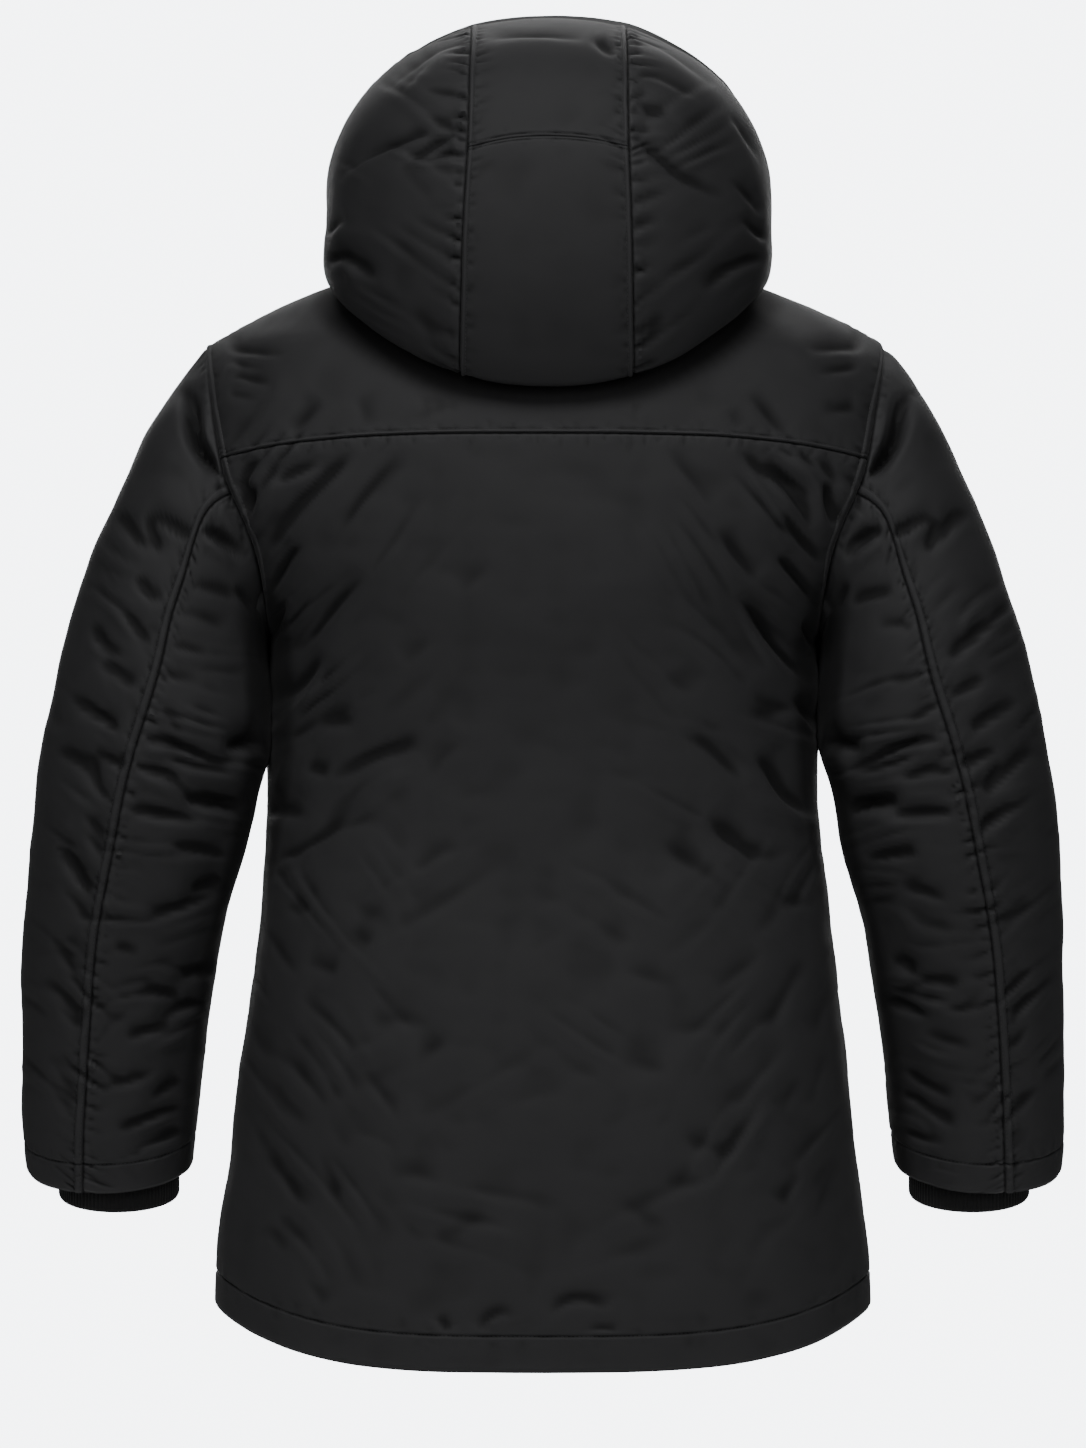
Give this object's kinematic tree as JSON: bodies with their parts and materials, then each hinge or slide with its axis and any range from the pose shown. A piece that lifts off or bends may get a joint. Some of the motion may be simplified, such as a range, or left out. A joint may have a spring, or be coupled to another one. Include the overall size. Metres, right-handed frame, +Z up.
{
  "type": "parka",
  "caption": "Hooded parka in black padded cloth, zipped closed, its hollow body, sleeves and hood filled out as they are worn.",
  "frame": {"origin": "between the two shoulder seams where they meet the neck, where the wearer's shoulders carry the coat", "axes": "+Z up the wearer, +X to the wearer's left, +Y out of the wearer's back"},
  "size_m": [0.8064, 0.3442, 1.0432],
  "materials": {
    "shell_cloth": "matte black woven shell cloth with a soft sheen",
    "rib_knit": "matte black ribbed knit",
    "zip_tape": "matte black woven tape",
    "zip_metal": "blackened metal"
  },
  "bodies": {
    "parka": {"back_panel": "shell_cloth", "back_yoke": "shell_cloth", "front_left": "shell_cloth", "front_right": "shell_cloth", "sleeve_upper_left": "shell_cloth", "sleeve_upper_right": "shell_cloth", "sleeve_under_left": "shell_cloth", "sleeve_under_right": "shell_cloth", "rib_cuff_left": "rib_knit", "rib_cuff_right": "rib_knit", "hood_centre_back": "shell_cloth", "hood_centre_top": "shell_cloth", "hood_side_left": "shell_cloth", "hood_side_right": "shell_cloth", "hood_brim": "shell_cloth", "zip_tape_left": "zip_tape", "zip_tape_right": "zip_tape", "zip_chain": "zip_metal", "zip_slider": "zip_metal"},
    "zip_pull": {"zip_pull": "zip_metal"}
  },
  "joints": [
    {"name": "zip_pull_swing", "type": "hinge", "parent": "parka", "child": "zip_pull", "pos_m": [0, -0.1274, -0.03152], "axis": [-1, 0, 0], "range_deg": [-4, 140]}
  ]
}
